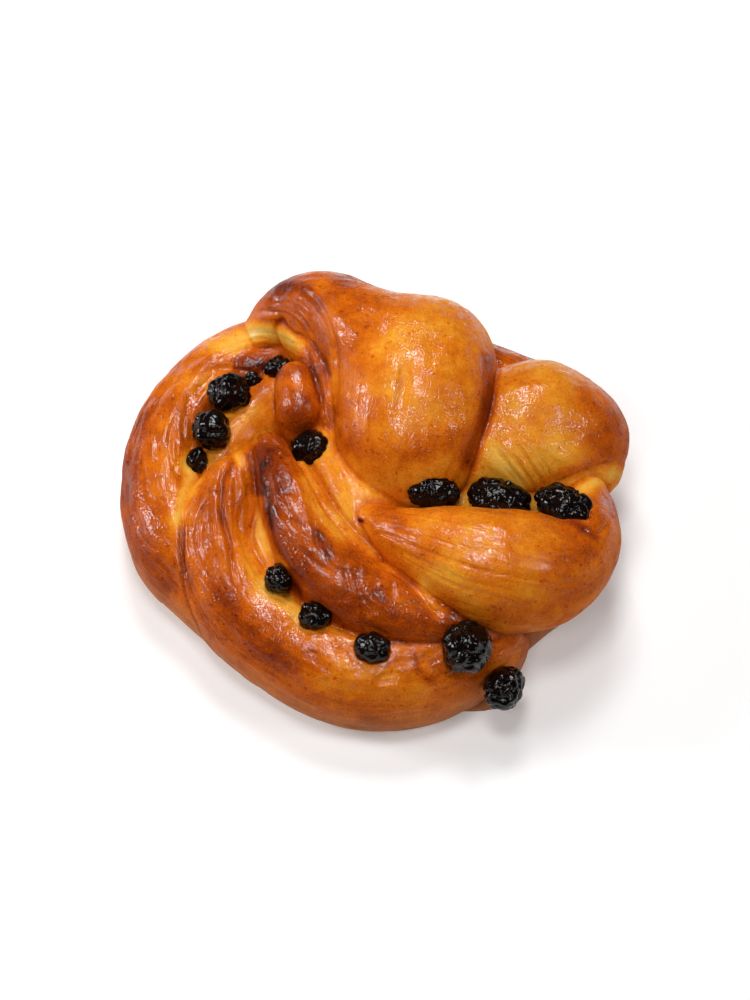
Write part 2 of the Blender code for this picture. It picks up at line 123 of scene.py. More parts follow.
# The knot: the strands of dough, as they lie in the bun.
# A station is x, y, z of a strand's centre line, its half width and its half height, in mm.
# A fold is a groove along the strand: where it starts and ends round the strand in degrees
# (0 is the right side going forward, 90 the top), depth, half width in degrees, and the
# share of the strand's length where it starts and ends. A band is the same for colour, with
# the change of bake in place of the depth.
# A look is how brown the strand is, from 0, pale crumb, to 1, scorched, and how high its long
# wrinkles, its broken little ones and its dimples stand, in mm.
# Strands of one family are one smooth lobe. All stand on the floor but those that are raised.
knot = {
    "leftRope": {
        "stations": [(-14, 45.5, 12, 9, 10), (-24.5, 43.5, 14, 10, 12), (-36.5, 36.5, 14, 11, 12.5),
                     (-46, 23.5, 14, 11, 12.5), (-49.5, 9.5, 13, 11, 12.5), (-46.5, -7, 13, 11, 12.5),
                     (-38, -17, 12, 10.5, 12), (-28.5, -28, 12, 9, 10)],
        "look": (0.57, 0.14, 0.08, 0.28),
        "folds": [(58, 58, 1.1, 16, 0.18, 0.62), (100, 100, 1.2, 16, 0.08, 0.55),
                  (128, 118, 0.7, 7, 0.12, 0.7), (80, 76, 0.6, 6, 0.2, 0.6)],
        "bands": [(80, 96, -0.26, 26, -0.1, 0.42), (130, 140, 0.1, 20, 0.1, 0.6)]},
    "leftLip": {
        "stations": [(-18, 41.5, 20, 4, 5), (-25.5, 38.5, 20, 5.5, 6), (-33.5, 35, 19, 6, 6),
                     (-40, 28.5, 17, 5.5, 6), (-44, 19.5, 15, 5, 5)],
        "raised": True, "look": (0.72, 0.2, 0.08, 0.1)},
    "frontRope": {
        "stations": [(-28, 10, 25, 3, 3.5), (-33, 1.5, 22, 8, 8), (-37, -11, 18, 10, 10),
                     (-31.5, -24, 15, 10.5, 11.5), (-19, -34, 13, 11, 12), (-7, -40, 12, 11.5, 12.5),
                     (5, -41, 12, 11.5, 12.5), (16.5, -38, 12, 10.5, 11.5), (25, -35, 11, 8, 9),
                     (30, -33, 10, 6, 7)],
        "look": (0.58, 0.16, 0.1, 0.3),
        "folds": [(82, 82, 1.5, 18, 0.02, 0.42), (132, 132, 1.0, 16, 0.02, 0.36),
                  (106, 112, 0.8, 7, 0.03, 0.4), (60, 66, 0.7, 8, 0.05, 0.38)],
        "bands": [(118, 122, -0.24, 30, 0.12, 1.0), (72, 72, 0.08, 24, 0.1, 0.8)]},
    "darkRidge": {
        "stations": [(-24.5, 9.5, 28, 4, 4.5), (-21, -2, 29, 6, 6.5), (-16.5, -14, 28, 7.5, 8),
                     (-9, -24, 26, 8.5, 8.5), (0.5, -29, 23, 9, 9), (11.5, -31.5, 20, 9, 9),
                     (21.5, -32, 17, 8, 8)],
        "look": (0.69, 0.1, 0.12, 0.4),
        "bands": [(165, 165, -0.24, 40, -0.05, 1.05), (20, 20, 0.1, 30, -0.1, 0.6)]},
    "rightLobe": {
        "stations": [(-1.5, -10, 30, 3.5, 4), (6, -14.5, 29, 7, 7.5), (16.5, -19, 28.5, 11.5, 12),
                     (28, -22, 26.5, 14, 14.5), (37.5, -21, 24, 13.5, 14), (42.5, -19.5, 23, 12, 12.5)],
        "raised": True, "look": (0.49, 0.1, 0.08, 0.12), "family": "lowerRight",
        "bands": [(85, 85, -0.1, 26, 0.1, 0.8), (20, 25, 0.06, 30, 0.4, 1.2)]},
    "rightShoulder": {
        "stations": [(37, -21, 24, 13, 13.5), (43.5, -18, 23, 11, 12.5), (48, -12, 22, 9.5, 11.5)],
        "raised": True, "look": (0.6, 0.1, 0.08, 0.1), "family": "lowerRight"},
    "rightCurl": {
        "stations": [(40, -22, 21, 8, 9.5), (45.5, -18, 22, 8, 11), (48.5, -12, 22, 8, 10.5),
                     (49.5, -5, 20, 7, 9.5), (48.5, 2.5, 17, 6, 8)],
        "raised": True, "look": (0.66, 0.1, 0.08, 0.1), "family": "lowerRight"},
    "rightFoot": {
        "stations": [(26.5, -30.5, 9, 7, 9), (35.5, -21.5, 9, 7.5, 10), (45, -12.5, 9, 8, 12),
                     (47.5, -3, 9, 8, 12), (46, 6.5, 9, 7.5, 12), (43.5, 14.5, 9, 8, 10)],
        "look": (0.66, 0.1, 0.08, 0.1)},
    "upperLobe": {
        "stations": [(22, 8, 18, 8, 9), (31, 15, 24, 14, 14.5), (39, 18.5, 24.5, 15, 15.5),
                     (44.5, 19, 23.5, 13.5, 13.5)],
        "raised": True, "look": (0.4, 0.06, 0.1, 0.1), "family": "upperRight"},
    "upperFlank": {
        "stations": [(22, 6, 25, 9, 10), (31.5, 9, 26, 12, 12.5), (41.5, 9, 24, 11, 11.5)],
        "look": (0.35, 0.06, 0.1, 0.1), "family": "upperRight"},
    "upperCheek": {
        "stations": [(39, 18.5, 24, 14, 14.5), (46, 16, 22.5, 12.5, 13.5), (50, 12, 20, 10.5, 11)],
        "raised": True, "look": (0.5, 0.06, 0.1, 0.1), "family": "upperRight"},
    "upperTail": {
        "stations": [(41.5, 25, 22, 8, 10), (47, 21, 22.5, 9.5, 11.5), (50.5, 15, 21, 10, 11.5),
                     (50.5, 8.5, 17.5, 7.5, 8.5)],
        "raised": True, "look": (0.6, 0.06, 0.1, 0.1), "family": "upperRight"},
    "upperFoot": {
        "stations": [(30, 23, 11, 12, 14), (43, 24, 11, 13, 14)],
        "look": (0.6, 0.1, 0.1, 0.1)},
    "topLobe": {
        "stations": [(9, 27, 30, 20, 19.5), (9, 19.5, 30, 19.5, 20), (8.5, 12, 28.5, 18.5, 18.5)],
        "squareness": 2.3, "look": (0.43, 0.05, 0.03, 0.14),
        "family": "top", "bands": [(8, 8, 0.22, 28, 0, 2), (172, 172, 0.18, 22, 0, 2)]},
    "topRidge": {
        "stations": [(-27.5, 39, 15, 6.5, 7), (-25, 45, 22, 7, 8), (-19, 47.5, 28.5, 7.5, 9),
                     (-11, 45.5, 33, 8.5, 9.5), (0.5, 36, 35, 10, 10)],
        "raised": True, "look": (0.58, 0.14, 0.08, 0.1), "family": "top"},
    "topShoulder": {
        "stations": [(-14, 43.5, 32, 9, 10.5), (-7, 39.5, 33.5, 11.5, 12), (1, 33, 33, 15, 15.5),
                     (7, 27, 31, 18, 18.5)],
        "raised": True, "look": (0.52, 0.08, 0.08, 0.12), "family": "top"},
    "creaseBand": {
        "stations": [(-22, 46, 26, 5.5, 6), (-17, 41, 30, 5.5, 6), (-13.5, 32, 31, 4.5, 6),
                     (-11.5, 22, 29, 3, 5), (-10.5, 12, 26, 3, 4)],
        "look": (0.6, 0.3, 0.06, 0)},
    "smallKnob": {
        "stations": [(-18.5, 25.5, 30.5, 5.2, 6), (-17.5, 18.5, 30, 5.6, 6)],
        "look": (0.6, 0.05, 0.1, 0.1)},
    "innerFold": {
        "stations": [(-20, 32.5, 18, 7, 8), (-29, 24, 17, 8, 8.5), (-36, 13.5, 15, 8, 8.5),
                     (-39.5, 0.5, 12, 8, 8)],
        "look": (0.5, 0.2, 0.08, 0.1)},
    "ridgeSlope": {
        "stations": [(-19.5, 3, 24, 6, 6.5), (-12.5, -9, 24, 7, 7.5), (-4, -19.5, 22, 7, 7.5)],
        "look": (0.46, 0.14, 0.2, 0.2)},
    "raisinValley": {
        "stations": [(-26.5, 1.5, 17, 8, 8), (-21, -15, 16, 8.5, 8.5), (-11.5, -28.5, 15, 8.5, 8.5),
                     (2.5, -34, 13, 8, 8)],
        "look": (0.36, 0.12, 0.16, 0.2)},
    "paleCentre": {
        "stations": [(-10.5, 16.5, 22, 8, 8), (-7, 4, 23.5, 9, 9), (-1.5, -8.5, 23, 9, 9),
                     (6, -15, 19, 8, 8)],
        "look": (0.38, 0.1, 0.24, 0.2)},
    "bakedDrip": {
        "stations": [(18.5, -41.5, 3, 4, 3.5), (24.5, -42.6, 2.2, 2.6, 2.2), (28, -42.6, 1.7, 1.8, 1.7)],
        "look": (0.66, 0.1, 0.2, 0.1)},
    "rightValley": {
        "stations": [(10, -6, 19, 8, 8), (22, -1, 20, 8, 8), (34, 0, 20, 8, 8), (43, 1, 17, 7, 8)],
        "look": (0.3, 0.1, 0.1, 0.1)},
    "backWall": {
        "stations": [(-18.5, 41.5, 11, 9, 11), (-6, 43, 12, 10, 14), (7.5, 43.5, 12, 10, 14),
                     (19.5, 39, 12, 10, 14), (35, 32, 12, 11, 12)],
        "look": (0.62, 0.2, 0.1, 0.2)},
}
lookNames = ("bake", "pleats", "crinkle", "dents", "strandNumber", "family")
families = ["", "lowerRight", "upperRight", "top"]    # the first is for a strand that has none

strandShape = {
    "shift": (0.1, -1.2, 0),  # puts the knot where the solid is
    "sides": 72,
    "ringStep": 1.0,
    "endRings": 10,
    "pathSteps": 20,
    "lookRound": 0.6,  # a path's direction is read from this far before and after a place
    "floorDip": 1.0,  # a standing strand reaches this far below the floor before it is levelled
    "footFullness": 3.2,  # squareness of a standing strand's lower half, where 2 is round
    "thinnestEnd": 0.3,  # share of its last station's size below which an end doesn't narrow
    "patternGap": 40.0,  # keeps each strand's patterns apart
    "core": ((0.1, -0.2, 5), (50, 42, 16)),  # fills the middle: place and half size
}


def smoothPath(stations):
    # a centripetal curve through the stations, and the length along it
    p = np.array(stations, float)
    p = np.vstack([2 * p[0] - p[1], p, 2 * p[-1] - p[-2]])
    line = []
    for before, start, end, after in zip(p, p[1:], p[2:], p[3:]):
        gapIn, gap, gapOut = (math.sqrt(np.linalg.norm((b - a)[:3]))
                              for a, b in ((before, start), (start, end), (end, after)))
        leave = (start - before) / gapIn - (end - before) / (gapIn + gap) + (end - start) / gap
        arrive = (end - start) / gap - (after - start) / (gap + gapOut) + (after - end) / gapOut
        for t in np.arange(strandShape["pathSteps"]) / strandShape["pathSteps"]:
            line.append((2 * t**3 - 3 * t**2 + 1) * start + (t**3 - 2 * t**2 + t) * gap * leave
                        + (3 * t**2 - 2 * t**3) * end + (t**3 - t**2) * gap * arrive)
    line.append(p[-2])
    line = np.array(line)
    steps = np.linalg.norm(np.diff(line[:, :3], axis=0), axis=1)
    return line, np.concatenate([[0], np.cumsum(steps)])


def atPlaces(places, lengths, values):
    # a line's values at places along it
    return np.stack([np.interp(places, lengths, column) for column in values.T], 1)


def ringPlaces(length, firstRadius, lastRadius, squareness):
    # where the rings stand along a strand, each with its share of the full width
    ends = [math.cos(math.pi / 2 * k / strandShape["endRings"]) for k in range(1, strandShape["endRings"])]
    shares = [(1 - u**squareness) ** (1 / squareness) for u in ends]
    count = max(4, round(length / strandShape["ringStep"]))
    rings = [(-firstRadius, 0)]
    rings += [(-firstRadius * u, s) for u, s in zip(ends, shares)]
    rings += [(length * k / count, 1) for k in range(count + 1)]
    rings += [(length + lastRadius * u, s) for u, s in reversed(list(zip(ends, shares)))]
    rings.append((length + lastRadius, 0))
    return np.array(rings)


def bent(values, squareness):
    # a sine or cosine bent from a circle's towards a square's
    return np.sign(values) * np.abs(values) ** (2 / squareness)


def stripe(angle, along, design):
    # a fold or band at each angle round a strand and share of its length
    first, last, amount, halfWidth, start, end = design
    run = np.clip((along - start) / (end - start), 0, 1)
    middle = first + (last - first) * run
    return amount * np.sin(math.pi * run) * np.exp(-((angle - middle) / halfWidth) ** 2)


def layStrand(name, design, number):
    line, lengths = smoothPath(design["stations"])
    squareness = design.get("squareness", 2.0)
    rings = ringPlaces(lengths[-1], line[0, 3], line[-1, 3], squareness)
    bpy.ops.mesh.primitive_uv_sphere_add(segments=strandShape["sides"], ring_count=len(rings) - 1, radius=1)
    strand = bpy.context.object
    strand.name = name
    unit = readPoints(strand)
    angle = np.arctan2(unit[:, 1], unit[:, 0])
    ring = np.round(np.arccos(np.clip(unit[:, 2], -1, 1)) / math.pi * (len(rings) - 1)).astype(int)
    place, share = rings[ring].T
    inside = np.clip(place, 0, lengths[-1])
    before, after = [atPlaces(np.clip(inside + way, 0, lengths[-1]), lengths, line[:, :3])
                     for way in (-strandShape["lookRound"], strandShape["lookRound"])]
    direction = after - before
    direction /= np.linalg.norm(direction, axis=1, keepdims=True)
    row = atPlaces(inside, lengths, line)
    centre = row[:, :3] + direction * (place - inside)[:, None]
    side = np.cross(direction, (0, 0, 1))
    side /= np.linalg.norm(side, axis=1, keepdims=True)
    rise = np.cross(side, direction)
    # past its last station a strand goes on narrowing as it did there
    taper = atPlaces(inside, lengths, np.gradient(line[:, 3:], lengths, axis=0))
    narrowing = np.minimum(taper * (place - inside)[:, None], 0)
    width, height = np.maximum(row[:, 3:] + narrowing, strandShape["thinnestEnd"] * row[:, 3:]).T.copy()
    shape = np.full(len(unit), squareness)
    if not design.get("raised"):
        lower = angle < 0
        rise[lower] = (0, 0, 1)
        height[lower] = centre[lower, 2] + strandShape["floorDip"]
        shape[lower] = strandShape["footFullness"]
    along = place / lengths[-1]
    pressed = sum(stripe(np.degrees(angle), along, fold) for fold in design.get("folds", ()))
    points = centre + strandShape["shift"]
    points += side * ((width - pressed) * bent(np.cos(angle), shape) * share)[:, None]
    points += rise * ((height - pressed) * bent(np.sin(angle), shape) * share)[:, None]
    writePoints(strand, points * mm)
    around = np.mod(angle + math.pi / 2, 2 * math.pi) * (line[:, 3].mean() + line[:, 4].mean()) / 2
    pattern = np.full(len(unit), strandShape["patternGap"] * number)
    writeAttribute(strand, "grain", np.stack([place, around, pattern], 1))
    turned = np.mod(np.degrees(angle) + 90, 360) - 90
    bands = sum(stripe(turned, along, band) for band in design.get("bands", ()))
    family = families.index(design.get("family", ""))
    for look, value in zip(lookNames, (*design["look"], number, family)):
        writeAttribute(strand, look, np.full(len(unit), value) + (bands if look == "bake" else 0))
    return strand


def editAll(piece):
    # into edit mode, with all of the piece selected
    makeActive(piece)
    bpy.ops.object.mode_set(mode="EDIT")
    bpy.ops.mesh.select_all(action="SELECT")


def joinPieces(pieces, name):
    deselectAll()
    for piece in pieces:
        piece.select_set(True)
    bpy.context.view_layer.objects.active = pieces[0]
    bpy.ops.object.join()
    pieces[0].name = name
    return pieces[0]


deselectAll()
strands = [layStrand(name, design, number) for number, (name, design) in enumerate(knot.items())]
print("strands laid:", len(strands))
strandGuide = joinPieces(strands, "strandGuide")

# The dough: all strands melted into one skin.
doughShape = {
    "grain": 0.5,  # size of the grid that melts the strands together, mm
    "soften": 3,  # passes that take the grid's steps off
    "softenAmount": 0.5,  # how far a pass moves a point towards its neighbours
    "triangles": 190000,
    "lumps": ((9.0, 0.22), (4.0, 0.08)),  # wave length and height, mm
    "pleatSizes": ((18.0, 3.6, 1.0), (12.0, 1.4, 0.45)),  # along and across a strand, mm, and share
    "pleatWidth": 0.4,  # share of its size over which a pleat falls away
    "pleatBreaks": (7.0, 0.6),  # pleats come and go every so many mm, by this share
    "crinkleSize": (4.5, 1.7),  # along and across a strand, mm
    "dentSize": (6.0, 3.0),
    "dentEdge": (0.0, 0.3),  # where in the pattern a dent starts, and is full
    "groove": 0.55,  # how much deeper the crease between two strands is, mm
    "familyEdge": (0.62, 0.95),  # share of lobe round a point, from no smoothing to all of it
    "raisinClear": (0.8, 3.5),  # smoothing starts this far from a raisin, mm
    "floorClear": (1, 6),  # and this high over the floor
    "meltPasses": 120,  # passes that smooth it
    "borderGain": 3,  # how wide the fading out of patterns at a crease gets
    "grooveGain": 1.6,  # and the crease itself
    "rayStart": 0.4,  # a ray leaves this far over the skin, mm
    "reliefStart": 4,  # from the floor up to here the relief grows, mm
    "creaseShade": 0.10,  # how much darker a crease between strands is painted, as painted shade
    "washSlopes": (0.35, 0.8),  # no wash where the skin faces up less, all of it where more
    "washHeights": (4, 16),  # the same for its height, mm,
    "washOpenness": (0.2, 0.5),  # its openness
    "washBake": (0.24, 0.42),  # and its bake
}
dough = strandGuide.copy()
dough.data = strandGuide.data.copy()
bpy.context.scene.collection.objects.link(dough)
corePlace, coreHalf = strandShape["core"]
deselectAll()
bpy.ops.mesh.primitive_uv_sphere_add(segments=64, ring_count=16, radius=mm, scale=coreHalf,
                                     location=np.array(corePlace) * mm)
joinPieces([dough, bpy.context.object], "bakedDough")
for layer in list(dough.data.attributes):
    if not layer.is_required and not layer.name.startswith("."):
        dough.data.attributes.remove(layer)
applyModifier(dough, "REMESH", mode="VOXEL", voxel_size=doughShape["grain"] * mm)
print("strands melted together:", len(dough.data.vertices), "points")


def keepLargestSkin(piece):
    # the skins of sealed hollows and loose crumbs go
    name = piece.name
    editAll(piece)
    bpy.ops.mesh.separate(type="LOOSE")
    bpy.ops.object.mode_set(mode="OBJECT")
    skins = sorted(bpy.context.selected_objects, key=lambda skin: len(skin.data.vertices))
    for scrap in skins[:-1]:
        bpy.data.objects.remove(scrap, do_unlink=True)
    skins[-1].name = name
    return skins[-1]


def copyNode(node, name):
    # a copy of a solid's mesh with its corners joined
    piece = bpy.data.objects.new(name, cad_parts[node].data.copy())
    bpy.context.scene.collection.objects.link(piece)
    piece.data.materials.clear()
    makeActive(piece)
    bpy.ops.mesh.customdata_custom_splitnormals_clear()
    editAll(piece)
    bpy.ops.mesh.remove_doubles(threshold=0.02 * mm)
    bpy.ops.mesh.normals_make_consistent(inside=False)
    bpy.ops.object.mode_set(mode="OBJECT")
    return piece


# each raisin's hollow, taken from its solid
raisinNodes = sorted(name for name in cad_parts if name.startswith("raisin_"))
hollows = joinPieces([copyNode(node, "hollow") for node in raisinNodes], "hollows")
applyModifier(dough, "BOOLEAN", operation="DIFFERENCE", object=hollows, solver="MANIFOLD")
bpy.data.objects.remove(hollows, do_unlink=True)
applyModifier(dough, "REMESH", mode="VOXEL", voxel_size=doughShape["grain"] * mm)
dough = keepLargestSkin(dough)
print("hollows cut:", len(dough.data.vertices), "points")

# the camera, matched to the photograph, in mm
view = {
    "place": (0.1, -276.7, 497.2),
    "tilt": 30,  # degrees up from looking straight down
    "lens": 85,
    "sensor": 36,  # along the picture's long side
    "clipStart": 10,
    "picture": (750, 1000),  # pixels
}

# What marks the top of the bun is laid on as strokes, drawn as the camera sees them. Each is how
# much, then in pixels the half width and the points it runs through, across and down the picture.

# creases, the edges of folds and one wide dimple, pressed in by so many mm
pressedStrokes = [
    (1, 3, ((298, 288), (312, 296), (324, 314), (331, 335), (334, 355), (335, 378), (332, 405),
                (330, 435), (331, 464))),
    (0.6, 2, ((152, 418), (158, 398), (170, 383), (190, 376))),
    (0.8, 2.5, ((200, 374), (222, 367), (246, 371), (266, 379))),
    (0.4, 3, ((160, 425), (157, 448), (162, 470))),
    (0.5, 2.5, ((174, 415), (170, 440), (172, 462), (180, 476))),
    (0.4, 2.5, ((188, 408), (183, 430), (190, 452))),
    (0.4, 3, ((140, 428), (130, 455), (125, 485), (128, 512))),
    (0.4, 2.5, ((136, 520), (143, 540), (158, 552))),
    (1, 3, ((232, 452), (223, 472), (220, 495), (224, 520), (231, 545), (232, 570), (240, 590))),
    (0.7, 2.5, ((214, 494), (203, 510), (197, 530), (199, 552), (207, 575))),
    (0.6, 2.2, ((243, 500), (240, 525), (246, 550), (256, 572))),
    (0.8, 2, ((197, 497), (186, 514), (180, 536), (181, 560), (187, 585), (196, 608), (208, 632),
                (222, 652))),
    (0.8, 2.2, ((248, 447), (256, 441), (268, 441), (282, 446))),
    (0.6, 2, ((289, 440), (296, 455), (303, 468))),
    (0.7, 3, ((314, 528), (319, 545), (330, 560))),
    (0.5, 2.5, ((300, 548), (312, 560), (330, 572))),
    (0.5, 2.5, ((345, 560), (347, 580), (352, 600))),
    (0.5, 2.5, ((360, 562), (357, 585), (365, 600))),
    (0.5, 2.5, ((378, 575), (374, 590), (381, 602))),
    (0.5, 2.5, ((392, 580), (393, 600))),
    (0.9, 2.2, ((383, 566), (400, 575), (418, 590), (432, 608), (444, 620))),
    (0.6, 2, ((583, 530), (592, 534), (602, 532), (608, 522))),
    (1.1, 3, ((558, 484), (572, 478), (590, 470), (606, 465), (624, 461))),
    (0.8, 26, ((396, 384), (410, 386))),
]
# wrinkles side by side where the dough was stretched: depth in mm, half width in pixels, how many,
# how strong the fine lines between them are, and the first line and the last
pressedFans = [
    (0.55, 2, 7, 1, ((262, 317), (284, 320), (299, 335), (310, 360), (318, 395), (325, 440)),
     ((277, 284), (300, 286), (318, 302), (328, 324), (333, 345), (335, 372), (334, 410))),
    (0.5, 2, 6, 1, ((522, 496), (510, 480), (498, 466), (484, 450)),
     ((560, 484), (550, 466), (541, 450), (533, 434))),
    (0.3, 2, 6, 1, ((372, 506), (415, 508), (480, 520), (560, 542)),
     ((385, 550), (420, 574), (470, 598), (540, 610))),
    (0.3, 2, 4, 0.8, ((186, 358), (225, 338), (262, 328), (296, 340)),
     ((205, 368), (238, 352), (268, 346), (304, 362))),
    (0.3, 2, 4, 0.7, ((150, 412), (150, 450), (156, 490)), ((190, 396), (196, 440), (190, 476))),
    (0.35, 2, 4, 0.8, ((222, 470), (214, 500), (216, 540), (226, 580)),
     ((244, 460), (252, 500), (250, 540), (258, 570))),
]
# browner, or paler where the amount is below 0; a few of these are painted shade, painted highlights or a
# painted reflection, as marked
bakeAndPaintedLightStrokes = [
    (-0.17, 10, ((212, 343), (245, 333))),
    # paler top band of the left rope, partly a painted highlight
    (-0.42, 9, ((254, 333), (270, 332), (298, 344))),
    # painted shade under the left rope's inner lip
    (0.18, 7, ((196, 368), (222, 361), (250, 363), (280, 372))),
    # browner outer rim of the left rope, partly painted shade
    (0.14, 14, ((140, 415), (130, 460), (127, 500), (138, 540), (165, 585))),
    # paler inner fold of the left rope, partly a painted highlight
    (-0.34, 9, ((187, 462), (191, 478), (184, 500), (178, 520))),
    (-0.07, 12, ((160, 420), (165, 450), (165, 480))),
    (-0.14, 8, ((212, 462), (232, 432), (255, 408))),
    (-0.26, 5, ((237, 455), (241, 463))),
    (0.14, 3.5, ((232, 462), (223, 480), (222, 510), (231, 540), (233, 565))),
    (0.12, 4, ((190, 500), (182, 530), (183, 560), (190, 590), (206, 625))),
    (-0.34, 5, ((260, 500), (263, 525), (271, 550), (284, 566))),
    (0.1, 11, ((215, 590), (235, 612), (258, 642), (292, 668))),
    (-0.14, 9, ((262, 590), (290, 610), (320, 645), (355, 668), (395, 672))),
    (-0.12, 14, ((330, 682), (380, 687), (425, 690))),
    (0.16, 4, ((414, 652), (418, 668), (430, 682))),
    (0.18, 6, ((262, 465), (262, 480), (265, 505), (269, 525))),
    (0.13, 10, ((268, 452), (276, 468), (284, 488))),
    (0.06, 8, ((272, 540), (290, 562), (305, 582), (335, 602))),
    (0.18, 5, ((318, 532), (324, 545), (328, 555))),
    (0.14, 4, ((377, 590), (383, 601))),
    (-0.2, 8, ((305, 480), (322, 515), (340, 538))),
    (-0.05, 8, ((374, 488), (352, 489), (338, 503), (344, 528))),
    (-0.24, 7, ((422, 588), (440, 612))),
    (-0.1, 8, ((398, 598), (415, 612))),
    (0.55, 2.2, ((358, 520), (362, 521))),
    (-0.06, 22, ((405, 345), (412, 380))),
    (0.08, 12, ((335, 292), (343, 320), (345, 360))),
    (0.12, 14, ((350, 440), (400, 452), (450, 440))),
    # browner right edge of the top lobe, partly painted shade
    (0.3, 9, ((488, 360), (490, 395), (480, 430), (468, 462))),
    (0.1, 16, ((585, 395), (606, 425), (598, 448))),
    (-0.09, 18, ((435, 572), (480, 592), (535, 600))),
    # paler right rim of the right lobe, partly a painted reflection
    (-0.12, 13, ((598, 562), (618, 540), (628, 505))),
    (-0.12, 10, ((582, 494), (612, 486))),
    (0.1, 10, ((302, 372), (298, 402))),
    (0.14, 5, ((536, 488), (560, 474), (588, 464))),
    (-0.34, 8, ((572, 494), (592, 483), (614, 472))),
    (0.08, 6, ((506, 421), (515, 430))),
    (-0.1, 9, ((488, 440), (500, 465), (520, 480))),
    (0.1, 10, ((560, 560), (592, 553))),
    (0.06, 10, ((500, 610), (545, 608), (590, 586))),
    (0.13, 12, ((385, 508), (402, 530), (425, 552))),
    (0.18, 4, ((573, 522), (596, 536))),
    (0.08, 8, ((290, 415), (311, 428))),
    (0.09, 12, ((265, 299), (295, 308), (315, 335), (326, 370))),
    (0.22, 8, ((272, 286), (298, 287), (316, 301))),
    (0.07, 16, ((365, 372), (368, 425))),
    (0.08, 12, ((345, 283), (372, 300))),
    # painted shadow between the left rope's top band and the ridge
    (0.12, 3.5, ((262, 319), (284, 323), (299, 338), (311, 364), (320, 400))),
    (-0.14, 3.5, ((331, 350), (329, 402))),
    (-0.14, 6, ((296, 383), (306, 388))),
]

applyModifier(dough, "SMOOTH", factor=doughShape["softenAmount"], iterations=doughShape["soften"])

# what each point of the skin takes from the strand it lies on
guidePoints = readPoints(strandGuide)
guideFaces = readFaces(strandGuide)
guideTree = surfaceTree(guidePoints, guideFaces)
guideLooks = np.column_stack([readAttribute(strandGuide, "grain")]
                             + [readAttribute(strandGuide, look) for look in lookNames])
skin = readPoints(dough)
looks = np.empty((len(skin), guideLooks.shape[1]))
for index, point in enumerate(skin):
    spot, normal, face, distance = guideTree.find_nearest(point)
    corners = guideFaces[face]
    shares = poly_3d_calc([Vector(guidePoints[corner]) for corner in corners], spot)
    looks[index] = np.array(shares) @ guideLooks[list(corners)]
bpy.data.objects.remove(strandGuide, do_unlink=True)
grain = looks[:, :3]
bake, pleats, crinkle, dents, strandNumber, family = looks[:, 3:].T
print("strand looks read")

edgeEnds = np.empty(len(dough.data.edges) * 2, np.int32)
dough.data.edges.foreach_get("vertices", edgeEnds)
edgeEnds = edgeEnds.reshape(-1, 2)
neighbours = np.bincount(edgeEnds.ravel(), minlength=len(skin))

# how many passes even each look out
spreadPasses = {"families": 14, "bake": 14, "lobeBake": 70, "borders": 6, "grooves": 2, "pleats": 4,
                "seen": 3, "washed": 6, "stretched": 2}


def spread(values, look):
    # evens values out over the skin, one step of the grid wider each pass
    for step in range(spreadPasses[look]):
        total = np.bincount(edgeEnds[:, 0], values[edgeEnds[:, 1]], len(skin))
        total += np.bincount(edgeEnds[:, 1], values[edgeEnds[:, 0]], len(skin))
        values = (values + total) / (1 + neighbours)
    return values


# the creases between strands of one family are smoothed away, clear of the raisins
raisinPlaces = np.array([np.mean(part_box(node), 0) for node in raisinNodes])
raisinReach = np.array([np.ptp(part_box(node), 0).max() / 2 for node in raisinNodes])
clear = np.min(np.linalg.norm(skin[:, None] - raisinPlaces[None], axis=2) - raisinReach, axis=1) / mm
lobe = np.round(family)
melt = np.zeros(len(skin))
for number in range(1, len(families)):
    inLobe = spread((lobe == number).astype(float), "families")
    melt += smoothStep(inLobe, *doughShape["familyEdge"])
melt *= smoothStep(clear, *doughShape["raisinClear"])
melt *= smoothStep(skin[:, 2] / mm, *doughShape["floorClear"])
group = dough.vertex_groups.new(name="melt")
for index in np.flatnonzero(melt > 0.01):
    group.add([int(index)], float(melt[index]), "REPLACE")
applyModifier(dough, "SMOOTH", factor=doughShape["softenAmount"], iterations=doughShape["meltPasses"],
              vertex_group="melt")
skin = readPoints(dough)
dough.vertex_groups.clear()
print("lobes smoothed")

# where one strand meets the next the pattern changes direction, so it fades out there
borders = np.zeros(len(skin))
near, far = np.round(strandNumber[edgeEnds]).T
borders[edgeEnds[near != far].ravel()] = 1
groove = np.zeros(len(skin))
near, far = lobe[edgeEnds].T
groove[edgeEnds[(borders[edgeEnds].min(1) > 0) & ((near != far) | (near == 0))].ravel()] = 1
groove = np.clip(spread(groove, "grooves") * doughShape["grooveGain"], 0, 1) * (1 - melt)
borders = np.clip(spread(borders, "borders") * doughShape["borderGain"], 0, 1)
bake = spread(bake, "bake")
bake += (spread(bake, "lobeBake") - bake) * melt
pleats = spread(pleats, "pleats") * (1 - borders)
crinkle = spread(crinkle, "borders")
dents = spread(dents, "borders") * (1 - borders)

# where each point of the skin is in the picture, and whether the camera sees it there
tilt = math.radians(view["tilt"])
aside = np.array((1, 0, 0))
upward = np.array((0, math.cos(tilt), math.sin(tilt)))
back = np.array((0, -math.sin(tilt), math.cos(tilt)))
fromCamera = skin / mm - view["place"]
focal = view["lens"] / view["sensor"] * max(view["picture"])
away = -(fromCamera @ back)
inPicture = np.stack([view["picture"][0] / 2 + focal * (fromCamera @ aside) / away,
                      view["picture"][1] / 2 - focal * (fromCamera @ upward) / away], 1)
skinTree = surfaceTree(skin, readFaces(dough))
cameraPlace = Vector(view["place"]) * mm
normals = readPoints(dough, "normal")
seen = np.zeros(len(skin))
for index, (point, normal) in enumerate(zip(skin, normals)):
    start = Vector(point + normal * doughShape["rayStart"] * mm)
    if skinTree.ray_cast(start, (cameraPlace - start).normalized())[0] is None:
        seen[index] = 1
seen = spread(seen, "seen")
print("seen from the camera:", round(float(seen.mean()), 2))

